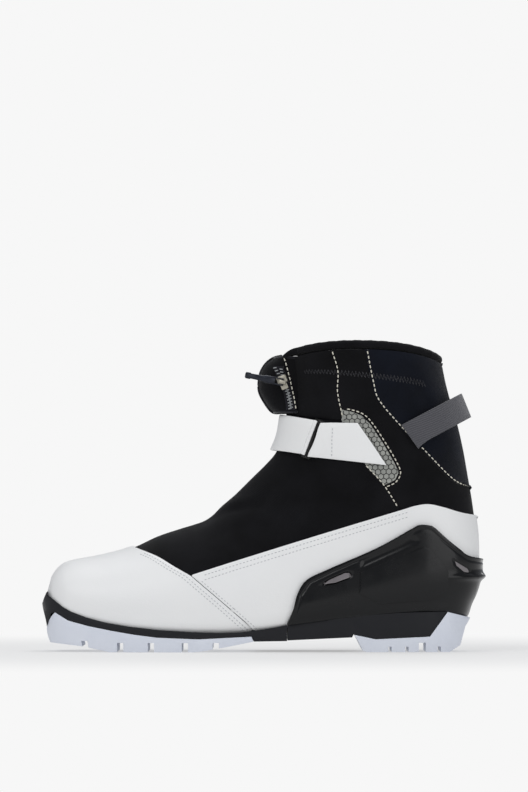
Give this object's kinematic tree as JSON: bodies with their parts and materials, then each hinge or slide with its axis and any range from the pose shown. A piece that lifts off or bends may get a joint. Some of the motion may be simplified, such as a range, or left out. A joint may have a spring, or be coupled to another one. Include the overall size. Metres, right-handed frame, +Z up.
{
  "type": "cross country ski boot",
  "caption": "Left touring ski boot: softshell gaiter with zip, white toe cap and side panels, strap, gloss heel counter, tread sole with toe bar.",
  "frame": {"origin": "under the middle of the boot's box, on the surface it stands on", "axes": "+X from toe to heel, +Y from the outer to the inner side of the foot, +Z up"},
  "size_m": [0.2884, 0.0974, 0.2027],
  "materials": {
    "softshell": "matt black softshell knit with a fine twill",
    "heel_fabric": "navy-black smooth stretch fabric",
    "mesh_fabric": "grey honeycomb mesh under a clear film",
    "lining": "black brushed fleece and felt",
    "white_leather": "white coated synthetic leather, fine grain, satin",
    "white_outsole": "bluish white moulded polyurethane, satin",
    "black_rubber": "black moulded rubber, matt",
    "gloss_black": "gloss black moulded shell",
    "smoked": "smoke grey translucent insert",
    "webbing": "dark grey ribbed webbing",
    "steel": "plain steel, brushed",
    "zip_metal": "dark blue-grey painted zip metal",
    "board": "pressed fibre board"
  },
  "bodies": {
    "boot": {"ankle_panel_lateral": "softshell", "ankle_panel_medial": "softshell", "collar_binding": "softshell", "collar_panel_lateral": "softshell", "collar_panel_medial": "softshell", "counter_insert_front_lateral": "smoked", "counter_insert_front_medial": "smoked", "counter_insert_rear_lateral": "smoked", "counter_insert_rear_medial": "smoked", "counter_plate_lateral": "gloss_black", "counter_plate_medial": "gloss_black", "footbed": "lining", "front_flap": "softshell", "gaiter": "softshell", "heel_counter": "gloss_black", "heel_panel": "heel_fabric", "heel_stiffener": "lining", "instep_strap": "white_leather", "lace": "webbing", "lace_facing_lateral": "webbing", "lace_facing_medial": "webbing", "lasting_board": "board", "liner": "lining", "mesh_window_lateral": "mesh_fabric", "mesh_window_medial": "mesh_fabric", "midsole_rand": "black_rubber", "midsole_wedge": "black_rubber", "outsole_forefoot": "white_outsole", "outsole_heel": "white_outsole", "shank_plate": "steel", "side_panel_lateral": "white_leather", "side_panel_medial": "white_leather", "strap_anchor": "white_leather", "strap_ring": "zip_metal", "toe_bar": "steel", "toe_bar_plate": "steel", "toe_cap": "white_leather", "toe_puff": "lining", "tongue": "lining", "zip_tape": "softshell", "zip_teeth": "zip_metal"},
    "strap_tail": {"strap_tail": "white_leather", "strap_hook_patch": "lining"},
    "zip_slider": {"zip_slider": "zip_metal"},
    "zip_puller": {"zip_puller": "zip_metal"},
    "pull_loop": {"pull_loop": "webbing"}
  },
  "joints": [
    {"name": "strap_tail_peel", "type": "hinge", "parent": "boot", "child": "strap_tail", "pos_m": [0.02996, -0.02945, 0.13954], "axis": [0.3433, -0.2556, 0.9038], "range_deg": [0, 90]},
    {"name": "zip_slide", "type": "slide", "parent": "boot", "child": "zip_slider", "axis": [0.3527, -0.0609, -0.9337], "range_m": [-0.006, 0.01]},
    {"name": "zip_puller_swing", "type": "hinge", "parent": "zip_slider", "child": "zip_puller", "pos_m": [0.01339, -0.0279, 0.17538], "axis": [0.1903, 0, 0.9817], "range_deg": [-5, 85]},
    {"name": "pull_loop_swing", "type": "hinge", "parent": "boot", "child": "pull_loop", "pos_m": [0.09605, -0.00094, 0.141], "axis": [0, 1, 0], "range_deg": [-5, 20]}
  ]
}
